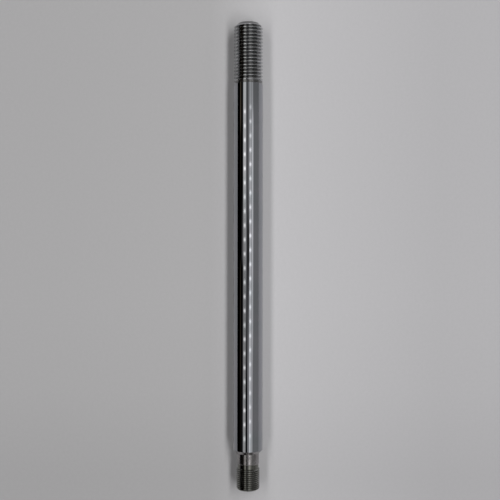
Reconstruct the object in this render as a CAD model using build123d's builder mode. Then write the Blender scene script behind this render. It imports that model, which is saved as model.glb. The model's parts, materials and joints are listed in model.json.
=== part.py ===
from build123d import *
import math
import os

# A one-piece stepped shaft, turned from round bar and lying along X.
# The origin is on the axis, midway between the two end faces, and the spigot points towards +X.
# The coarse head thread is cut along its true right-hand helix. The fine spigot thread stands
# at its crest diameter, with its chamfer and the neck behind it.

# Lengths along the axis, in millimetres
overall_length = 480.0
head_thread_length = 60.0
runout_width = 2.5  # plain band between the head thread and the chromed rod
spigot_length = 41.0  # from the edge of the shoulder to the free end
spigot_thread_length = 27.0

# Diameters
rod_diameter = 30.0
runout_diameter = 28.8
neck_diameter = 22.7  # the pitch diameter of M24 x 2, from which that thread is rolled
spigot_crest_diameter = 23.8  # M24 x 2, inside its 6g tolerance

# Head thread, M30 x 3.5 with ISO metric proportions
head_nominal_diameter = 30.0
head_crest_diameter = 29.7  # inside its 6g tolerance
head_pitch = 3.5
head_first_groove = 0.3 * head_pitch  # from the head face to the middle of the groove, on top of the bar
flank_angle = 30.0  # between each flank and a plane square to the axis
runout_angle = 30.0  # half angle of the cone on which the last turns climb out of the bar

# Edges
head_chamfer = 4.2
rod_edge_chamfer = 0.4
spigot_chamfer = 1.8

# 60 degree lathe centres in the two end faces
centre_angle = 60.0
head_centre_pilot, head_centre_mouth, head_centre_depth = 4.0, 8.5, 8.4
spigot_centre_pilot, spigot_centre_mouth, spigot_centre_depth = 3.15, 6.7, 6.6

# Stations along the axis, worked out from the lengths above
head_face = -overall_length / 2
head_thread_end = head_face + head_thread_length
rod_start = head_thread_end + runout_width
spigot_face = overall_length / 2
shoulder_start = spigot_face - spigot_length
shoulder_end = shoulder_start + (rod_diameter - neck_diameter) / 2  # a 45 degree cone
neck_end = spigot_face - spigot_thread_length
spigot_thread_start = neck_end + (spigot_crest_diameter - neck_diameter) / 2

# The groove of the head thread is a V with a flat root. At the nominal diameter it is 7/8 of the
# pitch wide, and its root is cut a sixth of the whole V short of the apex.
flank_slope = math.tan(math.radians(flank_angle))
apex_radius = head_nominal_diameter / 2 - 7 / 16 * head_pitch / flank_slope
root_radius = apex_radius + head_pitch / (12 * flank_slope)
root_half_width = (root_radius - apex_radius) * flank_slope
tool_radius = head_crest_diameter / 2 + 0.3  # the cutting tool stands a little clear of the crests
tool_half_width = (tool_radius - apex_radius) * flank_slope
tool_start = head_face + head_first_groove - head_pitch  # the tool starts off the head face
tool_turns = math.ceil((head_thread_end - tool_start) / head_pitch) + 1

# What one turn of the tool removes
with BuildPart() as groove_turn:
    with BuildLine() as tool_path:
        Helix(
            pitch=head_pitch,
            height=head_pitch,
            radius=root_radius,
            center=(tool_start, 0, 0),
            direction=(1, 0, 0),
        )
    with BuildSketch(Plane.XZ):
        with BuildLine():
            Polyline(
                (tool_start - root_half_width, root_radius),
                (tool_start - tool_half_width, tool_radius),
                (tool_start + tool_half_width, tool_radius),
                (tool_start + root_half_width, root_radius),
                close=True,
            )
        make_face()
    sweep(path=tool_path.wire(), is_frenet=True)

with BuildPart() as head_thread_groove:
    with Locations(*[(turn * head_pitch, 0, 0) for turn in range(tool_turns)]):
        add(groove_turn.part)

with BuildPart() as stepped_shaft:
    # The head starts as a cylinder at the crest diameter, into which the thread is cut
    with Locations(Plane.YZ.offset(head_face)):
        Cylinder(
            radius=head_crest_diameter / 2,
            height=head_thread_length,
            align=(Align.CENTER, Align.CENTER, Align.MIN),
        )
    add(head_thread_groove.part, mode=Mode.SUBTRACT)

    # The lead-in chamfer is turned through the first turns, down to below their root
    with BuildSketch(Plane.XZ):
        with BuildLine():
            chamfer_foot_radius = head_crest_diameter / 2 - head_chamfer
            Polyline(
                (head_face - 1, chamfer_foot_radius - 1),
                (head_face - 1, head_crest_diameter / 2 + 1),
                (head_face + head_chamfer + 1, head_crest_diameter / 2 + 1),
                close=True,
            )
        make_face()
    revolve(axis=Axis.X, mode=Mode.SUBTRACT)

    # Half section of the rest, turned once round the axis. It starts inside the head, below the
    # thread's root, with the run-out cone that fills the last turns.
    with BuildSketch(Plane.XZ):
        with BuildLine():
            cone_foot_radius = root_radius - 1
            cone_length = (runout_diameter / 2 - cone_foot_radius) / math.tan(math.radians(runout_angle))
            Polyline(
                (head_thread_end - cone_length, 0),
                (head_thread_end - cone_length, cone_foot_radius),
                (head_thread_end, runout_diameter / 2),
                (rod_start, runout_diameter / 2),
                (rod_start, rod_diameter / 2),
                (shoulder_start, rod_diameter / 2),
                (shoulder_end, neck_diameter / 2),
                (neck_end, neck_diameter / 2),
                (spigot_thread_start, spigot_crest_diameter / 2),
                (spigot_face, spigot_crest_diameter / 2),
                (spigot_face, 0),
                close=True,
            )
        make_face()
    revolve(axis=Axis.X)

    # Chamfers on the free end, and on the edge where the chromed rod starts above the run-out band
    chamfer(stepped_shaft.edges().sort_by(Axis.X)[-1], length=spigot_chamfer)
    full_size_rims = stepped_shaft.edges().filter_by(
        lambda edge: edge.geom_type == GeomType.CIRCLE and edge.radius == rod_diameter / 2
    )
    chamfer(full_size_rims.sort_by(Axis.X)[0], length=rod_edge_chamfer)

    # Lathe centres
    with Locations(Plane.YZ.offset(head_face).rotated((0, 180, 0))):
        CounterSinkHole(
            radius=head_centre_pilot / 2,
            counter_sink_radius=head_centre_mouth / 2,
            depth=head_centre_depth,
            counter_sink_angle=centre_angle,
        )
    with Locations(Plane.YZ.offset(spigot_face)):
        CounterSinkHole(
            radius=spigot_centre_pilot / 2,
            counter_sink_radius=spigot_centre_mouth / 2,
            depth=spigot_centre_depth,
            counter_sink_angle=centre_angle,
        )

stepped_shaft.part.label = "stepped_shaft"

os.makedirs("parts", exist_ok=True)
export_step(stepped_shaft.part, "parts/stepped_shaft.step")
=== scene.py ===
import json
import math

import bmesh
import bpy
from mathutils import Matrix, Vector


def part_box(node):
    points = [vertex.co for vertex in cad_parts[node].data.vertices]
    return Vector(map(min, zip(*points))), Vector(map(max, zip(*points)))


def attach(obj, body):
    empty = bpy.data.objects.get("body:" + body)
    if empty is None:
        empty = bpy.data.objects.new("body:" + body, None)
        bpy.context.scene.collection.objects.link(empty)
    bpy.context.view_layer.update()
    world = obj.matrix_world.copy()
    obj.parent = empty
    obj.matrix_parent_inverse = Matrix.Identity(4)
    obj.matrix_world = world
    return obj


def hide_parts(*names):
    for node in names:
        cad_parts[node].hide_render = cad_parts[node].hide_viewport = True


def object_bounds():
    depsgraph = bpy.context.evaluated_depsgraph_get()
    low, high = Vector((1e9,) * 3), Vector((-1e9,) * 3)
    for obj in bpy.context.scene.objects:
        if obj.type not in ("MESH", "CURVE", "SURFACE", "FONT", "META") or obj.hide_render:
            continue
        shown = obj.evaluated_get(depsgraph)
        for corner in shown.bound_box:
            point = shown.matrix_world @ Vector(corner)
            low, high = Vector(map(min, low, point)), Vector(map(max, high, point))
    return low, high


mm = 0.001
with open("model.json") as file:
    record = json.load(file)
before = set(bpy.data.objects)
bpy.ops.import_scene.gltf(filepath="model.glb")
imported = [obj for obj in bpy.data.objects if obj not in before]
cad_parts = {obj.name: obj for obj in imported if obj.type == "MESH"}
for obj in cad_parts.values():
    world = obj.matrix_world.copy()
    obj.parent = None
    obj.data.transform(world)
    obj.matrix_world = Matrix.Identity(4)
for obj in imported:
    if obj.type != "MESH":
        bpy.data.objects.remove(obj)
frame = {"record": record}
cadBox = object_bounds()
print("frame loaded")


def hexColour(code):  # sRGB hex to linear RGBA
    parts = [int(code[i:i + 2], 16) / 255 for i in (1, 3, 5)]
    return [p / 12.92 if p <= 0.04045 else ((p + 0.055) / 1.055) ** 2.4 for p in parts] + [1.0]


def addNode(tree, kind, settings=None, links=None):  # one node, its values, and what feeds it
    node = tree.nodes.new(kind)
    for name, value in (settings or {}).items():
        if isinstance(name, str) and hasattr(node, name):
            setattr(node, name, value)
        else:
            node.inputs[name].default_value = value
    for name, socket in (links or {}).items():
        tree.links.new(socket, node.inputs[name])
    return node


# Stations and radii of the shaft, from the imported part
mounts = {mount["name"]: mount for mount in frame["record"]["mounts"]}


def mountSpan(name):  # where a mount's wall starts and ends along the axis
    middle = mounts[name]["pos_m"][0]
    half = mounts[name]["dims"]["length_mm"] * mm / 2
    return middle - half, middle + half


def mountRadius(name):
    return mounts[name]["dims"]["r_mm"] * mm


boxLow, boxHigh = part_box("stepped_shaft")
headFace, spigotFace = boxLow.x, boxHigh.x
rodRadius = mountRadius("rod_body")
rodStart, shoulderStart = mountSpan("rod_body")
headThreadEnd = mountSpan("head_thread")[1]
spigotThreadStart = mountSpan("spigot_thread")[0]

shaft = {
    "columns": 120,  # faces round the shaft
    "edgeBreak": 0.15 * mm,  # at the shoulder and behind the neck
    "edgeHold": 0.3 * mm,  # rings this far from an edge keep its rounding off the straight length
    "runoutRadius": 14.4 * mm,
    "rodEdge": 0.4 * mm,
    "neckRadius": 11.35 * mm,
    "reliefRadius": 10.95 * mm,
    "reliefWidth": 4.5 * mm,
    "headChamfer": 4.2 * mm,
    "spigotChamfer": 1.8 * mm,
    "runoutAngle": 30.0,  # of the cone on which the last turns climb out of the bar
    # nominal radius, and the first groove's place on top of the shaft as a share of the pitch
    "headThread": {"pitch": 3.5 * mm, "nominal": 15.0 * mm, "firstGroove": 0.3},
    "spigotThread": {"pitch": 2.0 * mm, "nominal": 12.0 * mm, "firstGroove": 0.3},
    # lathe centres: radii of the drilled hole and of its mouth, and its depth
    "headCentre": {"pilot": 2.0 * mm, "mouth": 4.25 * mm, "depth": 8.4 * mm},
    "spigotCentre": {"pilot": 1.575 * mm, "mouth": 3.35 * mm, "depth": 6.6 * mm},
    "centreAngle": 60.0,
    "centreZone": 5.0 * mm,  # nearer the axis than this, every face belongs to a lathe centre
    "sharpEdge": 25.0,  # a larger angle between two faces is drawn as an edge
    "endZone": 0.01 * mm,  # nearer an end than this, every face belongs to the end face
    "weld": 0.002 * mm,
    "spareTurns": 2,  # turns of thread beyond each end, which are clipped off
    "clipping": 0.0001 * mm,  # how close to the cut a point counts as on it
}
shoulderEnd = shoulderStart + rodRadius - shaft["neckRadius"]
neckEnd = spigotThreadStart - (mountRadius("spigot_thread") - shaft["neckRadius"])
reliefEnd = neckEnd + shaft["reliefWidth"]


def addChain(bm, points):  # an open line of (x, radius) points above the axis
    verts = [bm.verts.new((x, 0.0, r)) for x, r in points]
    edges = [bm.edges.new(pair) for pair in zip(verts, verts[1:])]
    return verts + edges


def spinPlain(bm, points):  # a turned surface
    bmesh.ops.spin(bm, geom=addChain(bm, points), cent=(0, 0, 0), axis=(1, 0, 0), dvec=(0, 0, 0),
                   angle=2 * math.pi, steps=shaft["columns"], use_merge=True, use_duplicate=False)


# Metric thread form: angles in degrees, and lengths as shares of the pitch
threadForm = {
    "flankAngle": 30.0,
    "flankSteps": 4,
    "crestHalf": 1 / 16,  # half the flat at the nominal diameter
    "burr": 0.02,  # the crest's corners are broken by this much
    "depth": 0.6134,
    "rootArc": 0.144,  # radius of the root
    "rootAngles": (30, 60),  # where the arc has points, from its foot on the flank to the bottom at 90
}


def threadPitch(pitch, nominal, crest):  # (distance along, radius) from one crest to the next
    flank = math.radians(threadForm["flankAngle"])
    rootArc = threadForm["rootArc"] * pitch
    root = nominal - threadForm["depth"] * pitch
    crestHalf = threadForm["crestHalf"] * pitch + (nominal - crest) * math.tan(flank)
    burr = threadForm["burr"] * pitch
    flankTop = (crestHalf + burr * math.tan(flank), crest - burr)
    flankFoot = (pitch / 2 - rootArc * math.cos(flank), root + rootArc * (1 - math.sin(flank)))
    rising = [(crestHalf - burr, crest), flankTop]
    for step in range(1, threadForm["flankSteps"]):
        share = step / threadForm["flankSteps"]
        rising.append(tuple(top + (foot - top) * share for top, foot in zip(flankTop, flankFoot)))
    for turn in threadForm["rootAngles"]:
        angle = math.radians(turn)
        rising.append((pitch / 2 - rootArc * math.cos(angle), root + rootArc * (1 - math.sin(angle))))
    falling = [(pitch - along, radius) for along, radius in reversed(rising)]
    return rising + [(pitch / 2, root)] + falling


def holdThread(bm, rims, limits):
    # each radius goes between its limits, and the rims get the turned surfaces' own columns
    step = 2 * math.pi / shaft["columns"]
    for v in bm.verts:
        radius = math.hypot(v.co.y, v.co.z)
        angle = math.atan2(v.co.y, v.co.z)
        lowest, highest = limits(v.co.x)
        for rim in rims:
            if abs(v.co.x - rim) < shaft["weld"] / 2:
                angle = round(angle / step) * step
                v.co.x = rim
        radius = min(max(radius, lowest), highest)
        v.co.y, v.co.z = radius * math.sin(angle), radius * math.cos(angle)


def spinThread(bm, start, end, crest, thread, limits):
    # right-hand helix, clipped square at both ends and then held between the two limits on its radius
    pitch, columns, spare = thread["pitch"], shaft["columns"], shaft["spareTurns"]
    firstCrest = start + (thread["firstGroove"] - 0.5) * pitch
    turns = range(-spare, math.ceil((end - start) / pitch) + spare)
    onePitch = threadPitch(pitch, thread["nominal"], crest)
    points = [(firstCrest + turn * pitch + along, radius) for turn in turns for along, radius in onePitch]
    bmesh.ops.spin(bm, geom=addChain(bm, points), cent=(0, 0, 0), axis=(1, 0, 0),
                   dvec=(pitch / columns, 0, 0), angle=2 * math.pi, steps=columns,
                   use_merge=False, use_duplicate=False)
    bmesh.ops.remove_doubles(bm, verts=bm.verts, dist=shaft["weld"])
    for place, outwards in ((start, -1), (end, 1)):
        bmesh.ops.bisect_plane(bm, geom=bm.verts[:] + bm.edges[:] + bm.faces[:], dist=shaft["clipping"],
                               plane_co=(place, 0, 0), plane_no=(outwards, 0, 0), clear_outer=True)
    holdThread(bm, (start, end), limits)
    bmesh.ops.remove_doubles(bm, verts=bm.verts, dist=shaft["weld"])


def headLimits(x):  # the lowest and highest radius that the thread has at a place on the axis
    climb = math.tan(math.radians(shaft["runoutAngle"]))
    lowest = shaft["runoutRadius"] - (headThreadEnd - x) * climb
    highest = min(mountRadius("head_thread"),
                  mountRadius("head_thread") - shaft["headChamfer"] + (x - headFace),
                  shaft["runoutRadius"] + (headThreadEnd - x))
    return min(lowest, highest), highest


def spigotLimits(x):
    highest = min(mountRadius("spigot_thread") - shaft["spigotChamfer"] + (spigotFace - x),
                  shaft["reliefRadius"] + (x - reliefEnd))
    lowest = shaft["reliefRadius"] - (x - reliefEnd)
    return min(lowest, highest), highest


def joinInto(target, source):  # adds one bmesh to another
    held = bpy.data.meshes.new("held")
    source.to_mesh(held)
    source.free()
    target.from_mesh(held)
    bpy.data.meshes.remove(held)


def centreHole(face, hole, into):  # the lathe centre in an end face, from its floor out to the mouth
    coneDepth = (hole["mouth"] - hole["pilot"]) / math.tan(math.radians(shaft["centreAngle"] / 2))
    return [
        (face + into * hole["depth"], 0.0),
        (face + into * hole["depth"], hole["pilot"]),
        (face + into * coneDepth, hole["pilot"]),
        (face, hole["mouth"]),
    ]


def markFinishes(bm):  # each face gets the finish of its zone along the axis
    zones = [
        (headFace + shaft["endZone"], "facedSteel"),
        (headThreadEnd, "cutThread"),
        (rodStart - shaft["rodEdge"] / 2, "facedSteel"),
        (shoulderStart, "hardChrome"),
        (neckEnd + shaft["neckRadius"] - shaft["reliefRadius"], "groundSteel"),
        (spigotFace - shaft["endZone"], "oiledThread"),
        (math.inf, "facedSteel"),
    ]
    order = list(finishes)
    for face in bm.faces:
        face.smooth = True
        middle = face.calc_center_median()
        finish = next(finish for zoneEnd, finish in zones if middle.x <= zoneEnd)
        if math.hypot(middle.y, middle.z) < shaft["centreZone"]:
            finish = "facedSteel"
        face.material_index = order.index(finish)


def makeShaft():
    edge, hold = shaft["edgeBreak"], shaft["edgeHold"]
    headRim = mountRadius("head_thread") - shaft["headChamfer"]
    spigotRim = mountRadius("spigot_thread") - shaft["spigotChamfer"]
    reliefWall = shaft["neckRadius"] - shaft["reliefRadius"]
    bm = bmesh.new()
    spinPlain(bm, centreHole(headFace, shaft["headCentre"], 1) + [(headFace, headRim)])
    spinPlain(bm, [
        (headThreadEnd, shaft["runoutRadius"]),
        (rodStart - shaft["rodEdge"], shaft["runoutRadius"]),
        (rodStart - shaft["rodEdge"], rodRadius - shaft["rodEdge"]),
        (rodStart, rodRadius),
        (rodStart + hold, rodRadius),
        (shoulderStart - edge - hold, rodRadius),
        (shoulderStart - edge, rodRadius),
        (shoulderStart + edge / 2, rodRadius - edge / 2),
        (shoulderEnd, shaft["neckRadius"]),
        (shoulderEnd + hold, shaft["neckRadius"]),
        (neckEnd - edge - hold, shaft["neckRadius"]),
        (neckEnd - edge, shaft["neckRadius"]),
        (neckEnd, shaft["neckRadius"] - edge / 2),
        (neckEnd + reliefWall, shaft["reliefRadius"]),
        (reliefEnd, shaft["reliefRadius"]),
    ])
    spinPlain(bm, centreHole(spigotFace, shaft["spigotCentre"], -1) + [(spigotFace, spigotRim)])
    coarse, fine = bmesh.new(), bmesh.new()
    spinThread(coarse, headFace, headThreadEnd, mountRadius("head_thread"), shaft["headThread"], headLimits)
    spinThread(fine, reliefEnd, spigotFace, mountRadius("spigot_thread"), shaft["spigotThread"], spigotLimits)
    joinInto(bm, coarse)
    joinInto(bm, fine)
    bmesh.ops.remove_doubles(bm, verts=bm.verts, dist=shaft["weld"])
    bmesh.ops.recalc_face_normals(bm, faces=bm.faces)
    markFinishes(bm)
    for seam in bm.edges:
        if len(seam.link_faces) == 2 and seam.calc_face_angle() > math.radians(shaft["sharpEdge"]):
            seam.smooth = False
    openEdges = sum(1 for seam in bm.edges if len(seam.link_faces) != 2)
    mesh = bpy.data.meshes.new("steppedShaft")
    bm.to_mesh(mesh)
    volume = bm.calc_volume() / mm ** 3
    print("shaft:", len(mesh.polygons), "faces,", openEdges, "open edges,", volume, "cubic mm")
    bm.free()
    obj = bpy.data.objects.new("steppedShaft", mesh)
    bpy.context.scene.collection.objects.link(obj)
    return obj


def newMaterial(name):
    material = bpy.data.materials.new(name)
    material.use_nodes = True
    tree = material.node_tree
    tree.nodes.clear()
    return material, tree


finishes = {
    # Chromium plated on a ground rod and polished: a clear mirror with the ghost of circumferential
    # grinding, faint bluish clouds in the plate and dull streaks where it was wiped
    "hardChrome": {"colour": "#A9A9AE", "cloud": "#A1A4A8", "cloudSize": 22 * mm, "roughness": (0.015, 0.03),
                   "lineSpacing": 1.5 * mm, "lineDepth": 0.00012 * mm},
    # Faced on the lathe: satin, with concentric feed marks
    "facedSteel": {"colour": "#848484", "cloud": "#737271", "cloudSize": 9 * mm, "roughness": (0.16, 0.24),
                   "lineSpacing": 0.3 * mm, "lineDepth": 0.004 * mm},
    # A single-point thread: crests burnished bright by nuts and flanks torn by the tool; flanks and roots are
    # painted darker towards the root, as painted shade in the grooves
    "cutThread": {"colour": "#C3C4C6", "cloud": "#B2B3B4", "cloudSize": 12 * mm, "roughness": (0.08, 0.14),
                  "lineSpacing": 0.35 * mm, "lineDepth": 0.004 * mm,
                  "grime": "#868686", "grimeFrom": 12.9 * mm, "grimeTo": 13.9 * mm},
    # Bare ground steel on the cone and neck: soft streaked shine, faintly warm from handling
    "groundSteel": {"colour": "#A5A2A2", "cloud": "#8C8989", "cloudSize": 8 * mm, "roughness": (0.14, 0.24),
                    "lineSpacing": 0.5 * mm, "lineDepth": 0.002 * mm},
    # Fine thread under dark assembly oil: a faint olive sheen on the crests, and grooves painted darker
    # towards the root, as painted shade where little light comes back out of them
    "oiledThread": {"colour": "#A0A09D", "cloud": "#868682", "cloudSize": 7 * mm, "roughness": (0.09, 0.17),
                    "lineSpacing": 0.3 * mm, "lineDepth": 0.004 * mm,
                    "grime": "#74746E", "grimeFrom": 10.8 * mm, "grimeTo": 11.8 * mm},
}

turning = {  # what the finishes share
    "acrossScale": 15.0,  # a mark changes little on its way round: one feature per 67 mm
    "lineDetail": 2.0,
    "cloudDetail": 3.0,
    "cloudRoughness": 0.6,
    "cloudDistortion": 0.4,
    "cloudRange": (0.35, 0.65),
    "lineShare": 0.5,  # weight of the marks against the clouds in the roughness
    "wipedRange": (0.2, 1.3),
    "bumpStrength": 0.3,
}


def turnedFinish(name, values):
    # its marks run round the axis, spaced along the shaft on its sides and out from the middle on its ends
    material, tree = newMaterial(name)
    place = addNode(tree, "ShaderNodeTexCoord").outputs["Object"]
    across = addNode(tree, "ShaderNodeVectorMath", {"operation": "MULTIPLY", 1: (0, 1, 1)}, {0: place})
    radius = addNode(tree, "ShaderNodeVectorMath", {"operation": "LENGTH"},
                     {0: across.outputs["Vector"]}).outputs["Value"]
    scale = (1 / values["lineSpacing"], turning["acrossScale"], turning["acrossScale"])
    spread = addNode(tree, "ShaderNodeMapping", {"Scale": scale}, {"Vector": place})
    ring = addNode(tree, "ShaderNodeMath", {"operation": "DIVIDE", 1: values["lineSpacing"]}, {0: radius})
    lines = addNode(tree, "ShaderNodeTexNoise",
                    {"noise_dimensions": "4D", "Scale": 1.0, "Detail": turning["lineDetail"]},
                    {"Vector": spread.outputs["Vector"], "W": ring.outputs["Value"]})
    clouds = addNode(tree, "ShaderNodeTexNoise", {"Scale": 1 / values["cloudSize"],
                                                  "Detail": turning["cloudDetail"],
                                                  "Roughness": turning["cloudRoughness"],
                                                  "Distortion": turning["cloudDistortion"]},
                     {"Vector": place})
    cloudy = addNode(tree, "ShaderNodeMapRange", {"From Min": turning["cloudRange"][0],
                                                  "From Max": turning["cloudRange"][1]},
                     {"Value": clouds.outputs["Fac"]})
    wiped = addNode(tree, "ShaderNodeMath", {"operation": "MULTIPLY_ADD", 1: turning["lineShare"]},
                    {0: lines.outputs["Fac"], 2: cloudy.outputs["Result"]})
    dull = addNode(tree, "ShaderNodeMapRange", {"From Min": turning["wipedRange"][0],
                                                "From Max": turning["wipedRange"][1],
                                                "To Min": values["roughness"][0],
                                                "To Max": values["roughness"][1]},
                   {"Value": wiped.outputs["Value"]})
    colour = addNode(tree, "ShaderNodeMix", {"data_type": "RGBA", 6: hexColour(values["colour"]),
                                             7: hexColour(values["cloud"])},
                     {0: cloudy.outputs["Result"]}).outputs[2]
    # painted shade in the thread's grooves: the colour darkens towards the root radius
    if "grime" in values:
        outOfGroove = addNode(tree, "ShaderNodeMapRange", {"interpolation_type": "SMOOTHSTEP",
                                                     "From Min": values["grimeFrom"],
                                                     "From Max": values["grimeTo"]}, {"Value": radius})
        colour = addNode(tree, "ShaderNodeMix", {"data_type": "RGBA", 6: hexColour(values["grime"])},
                         {0: outOfGroove.outputs["Result"], 7: colour}).outputs[2]
    bump = addNode(tree, "ShaderNodeBump", {"Strength": turning["bumpStrength"],
                                            "Distance": values["lineDepth"]},
                   {"Height": lines.outputs["Fac"]})
    shader = addNode(tree, "ShaderNodeBsdfPrincipled", {"Metallic": 1.0},
                     {"Base Color": colour, "Roughness": dull.outputs["Result"],
                      "Normal": bump.outputs["Normal"]})
    addNode(tree, "ShaderNodeOutputMaterial", links={"Surface": shader.outputs["BSDF"]})
    return material


steppedShaft = makeShaft()
for name, values in finishes.items():
    steppedShaft.data.materials.append(turnedFinish(name, values))
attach(steppedShaft, "root")
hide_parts("stepped_shaft")
print("shaft made")

studio = {
    "floorHalf": 6.0,
    "floorLeftEdge": -0.3,  # it ends just out of view, so the shaft mirrors the dark room beyond it
    # tone of the floor from left to right of the shaft, painted light that is darker left of it and brightest
    # just right of it: (metres to the right, colour)
    "floorTones": [(-0.2, "#A9A8A9"), (-0.04, "#ABAAAB"), (0.03, "#BEBDBF"), (0.1, "#B9B8BA"),
                   (0.2, "#B2B1B3")],
    # painted shade: the share of that tone falls towards the spigot end, so the floor darkens there
    "floorFading": [(0.05, 1.0), (0.14, 0.97), (0.23, 0.89)],  # share of that tone towards the spigot
    "floorGrain": 3 * mm,
    "grainRange": (0.97, 1.03),
    "grainDetail": 2.0,
    "floorRoughness": 0.6,
    "lampDistance": 6.0,
    "lampLength": 9.0,
    "lamps": {  # degrees from overhead to the right, width in metres, watts
        "rightLamp": {"angle": 24.0, "width": 1.05, "power": 326.0},
        "leftLamp": {"angle": -28.0, "width": 1.05, "power": 154.0},
        "rightWindow": {"angle": 48.0, "width": 4.0, "power": 28.0},
    },
    "ambient": 0.05,
    "backdrop": "#BCBBBD",  # what the camera sees past the floor
    "cameraHeight": 0.908,
    "cameraFoot": (-6.6 * mm, 1.8 * mm),
    "cameraRoll": 0.066,
    "cameraNear": 0.01,
    "lens": 63.36,
    "sensorWidth": 36.0,
}

# What the polished steel mirrors: strips of light that run along the shaft, each with its middle,
# half width and soft margin in degrees from overhead to the right, its level, and the share of that
# level along the shaft, as (slope of the ray towards the spigot, share). A row of small lamps also has
# its spacing and its first lamp in the same slope.
reflected = {
    "doorway": {"colour": "#FFE6C4", "middle": -64, "half": 1.5, "soft": 4, "level": 0.16,
                "along": [(-0.2, 0.8), (-0.15, 1.0), (-0.13, 0.2), (-0.05, 0.03), (0.005, 0.0), (0.02, 0.25),
                          (0.13, 0.3), (0.16, 0.1)]},
    "leftMargin": {"middle": -47, "half": 2, "soft": 4, "level": 0.18,
                   "along": [(-0.07, 0.1), (-0.02, 0.7), (0.005, 1.0), (0.02, 0.05), (0.2, 0.2)]},
    "leftStrip": {"colour": "#FFFEFA", "middle": -30.5, "half": 7, "soft": 6, "level": 0.98,
                  "along": [(-0.09, 1.0), (-0.03, 0.6), (0.02, 0.44), (0.08, 0.42), (0.2, 0.62)]},
    "leftGlow": {"middle": -17, "half": 2, "soft": 9, "level": 0.32,
                 "along": [(-0.1, 0.9), (0.0, 1.0), (0.03, 0.7), (0.1, 0.35), (0.16, 0.0)]},
    "leftBeads": {"colour": "#FFFEFA", "middle": -28.5, "half": 4.5, "soft": 6, "level": 1.9,
                  "spacing": 0.01618, "first": -0.1574,
                  "along": [(-0.164, 0.0), (-0.162, 0.6), (-0.09, 0.8), (-0.04, 0.75), (0.22, 0.65),
                            (0.222, 0.0)]},
    "rightStrip": {"middle": 21.5, "half": 10, "soft": 5, "level": 0.7,
                   "along": [(-0.18, 0.75), (-0.12, 1.0), (0.05, 0.95), (0.2, 1.0)]},
    "rightOuter": {"middle": 36, "half": 3, "soft": 4, "level": 0.84,
                   "along": [(-0.18, 0.4), (-0.165, 0.45), (-0.145, 0.95), (-0.1, 1.0), (-0.03, 0.9),
                             (0.03, 0.78), (0.1, 0.62), (0.13, 0.4), (0.2, 0.3)]},
    "rightGlow": {"middle": 15, "half": 2, "soft": 5, "level": 0.4,
                  "along": [(-0.11, 0.0), (-0.03, 0.7), (0.01, 1.0), (0.1, 1.0), (0.2, 0.7)]},
    "rightBeads": {"middle": 16.6, "half": 4.5, "soft": 6, "level": 1.4,
                   "spacing": 0.01625, "first": -0.1625,
                   "along": [(-0.169, 0.0), (-0.167, 0.5), (-0.1, 1.0), (0.05, 0.9), (0.218, 0.5),
                             (0.22, 0.0)]},
    "ceiling": {"middle": 5, "half": 4, "soft": 12, "level": 0.45,
                "along": [(-0.08, 0.65), (-0.05, 0.45), (-0.02, 0.12), (0.012, 0.08), (0.05, 0.35),
                          (0.09, 0.6), (0.125, 0.9), (0.22, 1.05)]},
    "rightWall": {"middle": 110, "half": 66, "soft": 6, "level": 0.275,
                  "along": [(-0.18, 0.85), (-0.14, 1.0)]},
}
beadSharpness = 3.0
slopeRange = (-0.3, 0.3)  # beyond these slopes each share stays as it is there
roomEnd = [(-0.3, 0.45), (-0.27, 1.0)]  # share of all the strips that is left past the head, by slope


def addRamp(tree, stops, fac, low, high):  # a colour ramp whose stops are places between low and high
    ramp = addNode(tree, "ShaderNodeValToRGB")
    spread = addNode(tree, "ShaderNodeMapRange", {"From Min": low, "From Max": high}, {"Value": fac})
    tree.links.new(spread.outputs["Result"], ramp.inputs["Fac"])
    while len(ramp.color_ramp.elements) < len(stops):
        ramp.color_ramp.elements.new(1.0)
    for element, (place, colour) in zip(ramp.color_ramp.elements, stops):
        element.position = (place - low) / (high - low)
        element.color = colour
    return ramp.outputs["Color"]


def grey(stops):  # shares as the colours of a ramp's stops
    return [(place, (share, share, share, 1)) for place, share in stops]


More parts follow.
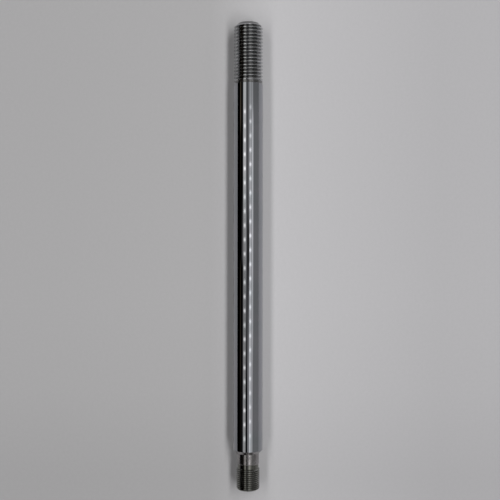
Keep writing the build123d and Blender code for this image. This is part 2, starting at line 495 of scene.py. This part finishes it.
def makeFloor():
    # Matt laminate: a smooth pale sheet with a fine grain that only just shows. Its tone is painted light and
    # shade: darker left of the shaft, brightest just right of it, and darker towards the spigot end
    material, tree = newMaterial("paleLaminate")
    place = addNode(tree, "ShaderNodeTexCoord").outputs["Object"]
    parts = addNode(tree, "ShaderNodeSeparateXYZ", links={"Vector": place})
    paintedLightStops = [(y, hexColour(code)) for y, code in studio["floorTones"]]
    paintedLightTone = addRamp(tree, paintedLightStops, parts.outputs["Y"], paintedLightStops[0][0], paintedLightStops[-1][0])
    grain = addNode(tree, "ShaderNodeTexNoise",
                    {"Scale": 1 / studio["floorGrain"], "Detail": studio["grainDetail"]}, {"Vector": place})
    speck = addNode(tree, "ShaderNodeMapRange",
                    {"To Min": studio["grainRange"][0], "To Max": studio["grainRange"][1]},
                    {"Value": grain.outputs["Fac"]})
    paintedFalloffStops = grey(studio["floorFading"])
    paintedFloorTone = addNode(tree, "ShaderNodeVectorMath", {"operation": "MULTIPLY"},
                    {0: paintedLightTone, 1: addRamp(tree, paintedFalloffStops, parts.outputs["X"], paintedFalloffStops[0][0], paintedFalloffStops[-1][0])})
    mixed = addNode(tree, "ShaderNodeVectorMath", {"operation": "SCALE"},
                    {0: paintedFloorTone.outputs["Vector"], "Scale": speck.outputs["Result"]})
    shader = addNode(tree, "ShaderNodeBsdfPrincipled",
                     {"Roughness": studio["floorRoughness"], "Specular IOR Level": 0.0},
                     {"Base Color": mixed.outputs["Vector"]})
    addNode(tree, "ShaderNodeOutputMaterial", links={"Surface": shader.outputs["BSDF"]})
    bm = bmesh.new()
    bmesh.ops.create_grid(bm, x_segments=1, y_segments=1, size=studio["floorHalf"])
    shift = (0, studio["floorHalf"] + studio["floorLeftEdge"], cadBox[0][2])
    bmesh.ops.translate(bm, verts=bm.verts, vec=shift)
    mesh = bpy.data.meshes.new("floor")
    bm.to_mesh(mesh)
    bm.free()
    floor = bpy.data.objects.new("floor", mesh)
    mesh.materials.append(material)
    bpy.context.scene.collection.objects.link(floor)


def addLamp(name, angle, width, power):
    lamp = bpy.data.lights.new(name, "AREA")
    lamp.shape = "RECTANGLE"
    lamp.size, lamp.size_y = studio["lampLength"], width
    lamp.energy = power
    obj = bpy.data.objects.new(name, lamp)
    tilt = math.radians(angle)
    obj.location = (0, studio["lampDistance"] * math.sin(tilt), studio["lampDistance"] * math.cos(tilt))
    obj.rotation_euler = (-tilt, 0, 0)
    obj.visible_glossy = False  # the world below has its reflection
    bpy.context.scene.collection.objects.link(obj)


def addStrip(tree, side, slope, strip):  # the light that one strip sends from a direction
    away = addNode(tree, "ShaderNodeMath", {"operation": "SUBTRACT", 1: math.radians(strip["middle"])},
                   {0: side})
    far = addNode(tree, "ShaderNodeMath", {"operation": "ABSOLUTE"}, {0: away.outputs["Value"]})
    shape = addNode(tree, "ShaderNodeMapRange", {
        "interpolation_type": "SMOOTHSTEP",
        "From Min": math.radians(strip["half"] + strip["soft"]),
        "From Max": math.radians(strip["half"]),
        "To Max": strip["level"],
    }, {"Value": far.outputs["Value"]}).outputs["Result"]
    if "spacing" in strip:
        turnsPerSlope = 2 * math.pi / strip["spacing"]
        turn = addNode(tree, "ShaderNodeMath", {"operation": "MULTIPLY_ADD", 1: turnsPerSlope,
                                                2: -turnsPerSlope * strip["first"]}, {0: slope})
        wave = addNode(tree, "ShaderNodeMath", {"operation": "COSINE"}, {0: turn.outputs["Value"]})
        crest = addNode(tree, "ShaderNodeMath", {"operation": "MAXIMUM", 1: 0.0}, {0: wave.outputs["Value"]})
        bead = addNode(tree, "ShaderNodeMath", {"operation": "POWER", 1: beadSharpness},
                       {0: crest.outputs["Value"]})
        shape = addNode(tree, "ShaderNodeMath", {"operation": "MULTIPLY"},
                        {0: shape, 1: bead.outputs["Value"]}).outputs["Value"]
    share = addRamp(tree, grey(strip["along"]), slope, *slopeRange)
    level = addNode(tree, "ShaderNodeMath", {"operation": "MULTIPLY"}, {0: shape, 1: share})
    colour = hexColour(strip.get("colour", "#FFFFFF"))[:3]
    return addNode(tree, "ShaderNodeVectorMath", {"operation": "SCALE", 0: colour},
                   {"Scale": level.outputs["Value"]}).outputs["Vector"]


def makeWorld():
    # the camera sees the backdrop, mirrored rays see the strips, and the rest gets a little even light
    world = bpy.data.worlds.new("studio")
    world.use_nodes = True
    bpy.context.scene.world = world
    tree = world.node_tree
    tree.nodes.clear()
    direction = addNode(tree, "ShaderNodeTexCoord").outputs["Generated"]
    parts = addNode(tree, "ShaderNodeSeparateXYZ", links={"Vector": direction})
    side = addNode(tree, "ShaderNodeMath", {"operation": "ARCTAN2"},
                   {0: parts.outputs["Y"], 1: parts.outputs["Z"]}).outputs["Value"]
    across = addNode(tree, "ShaderNodeVectorMath", {"operation": "MULTIPLY", 1: (0, 1, 1)}, {0: direction})
    reach = addNode(tree, "ShaderNodeVectorMath", {"operation": "LENGTH"}, {0: across.outputs["Vector"]})
    slope = addNode(tree, "ShaderNodeMath", {"operation": "DIVIDE"},
                    {0: parts.outputs["X"], 1: reach.outputs["Value"]}).outputs["Value"]
    total = None
    for strip in reflected.values():
        part = addStrip(tree, side, slope, strip)
        total = part if total is None else addNode(tree, "ShaderNodeVectorMath", {"operation": "ADD"},
                                                   {0: total, 1: part}).outputs["Vector"]
    total = addNode(tree, "ShaderNodeVectorMath", {"operation": "MULTIPLY"},
                    {0: total, 1: addRamp(tree, grey(roomEnd), slope, *slopeRange)}).outputs["Vector"]
    mirrored = addNode(tree, "ShaderNodeBackground", {"Strength": 1.0}, {"Color": total})
    ambient = addNode(tree, "ShaderNodeBackground", {"Color": (1, 1, 1, 1), "Strength": studio["ambient"]})
    path = addNode(tree, "ShaderNodeLightPath")
    lit = addNode(tree, "ShaderNodeMixShader", links={0: path.outputs["Is Glossy Ray"],
                                                      1: ambient.outputs["Background"],
                                                      2: mirrored.outputs["Background"]})
    seen = addNode(tree, "ShaderNodeBackground", {"Color": hexColour(studio["backdrop"]), "Strength": 1.0})
    shown = addNode(tree, "ShaderNodeMixShader", links={0: path.outputs["Is Camera Ray"],
                                                        1: lit.outputs["Shader"],
                                                        2: seen.outputs["Background"]})
    addNode(tree, "ShaderNodeOutputWorld", links={"Surface": shown.outputs["Shader"]})


def addCamera():
    camera = bpy.data.cameras.new("camera")
    camera.lens = studio["lens"]
    camera.sensor_width = studio["sensorWidth"]
    camera.clip_start = studio["cameraNear"]
    obj = bpy.data.objects.new("camera", camera)
    turn = Matrix(((0, -1, 0), (1, 0, 0), (0, 0, 1))).to_4x4()  # looks down, head of the shaft at the top
    roll = Matrix.Rotation(math.radians(studio["cameraRoll"]), 4, "Z")
    obj.matrix_world = Matrix.Translation((*studio["cameraFoot"], studio["cameraHeight"])) @ turn @ roll
    bpy.context.scene.collection.objects.link(obj)
    bpy.context.scene.camera = obj


makeFloor()
for name, lamp in studio["lamps"].items():
    addLamp(name, **lamp)
makeWorld()
addCamera()
bpy.context.scene.view_settings.view_transform = "Standard"
print("stage, light and camera placed")
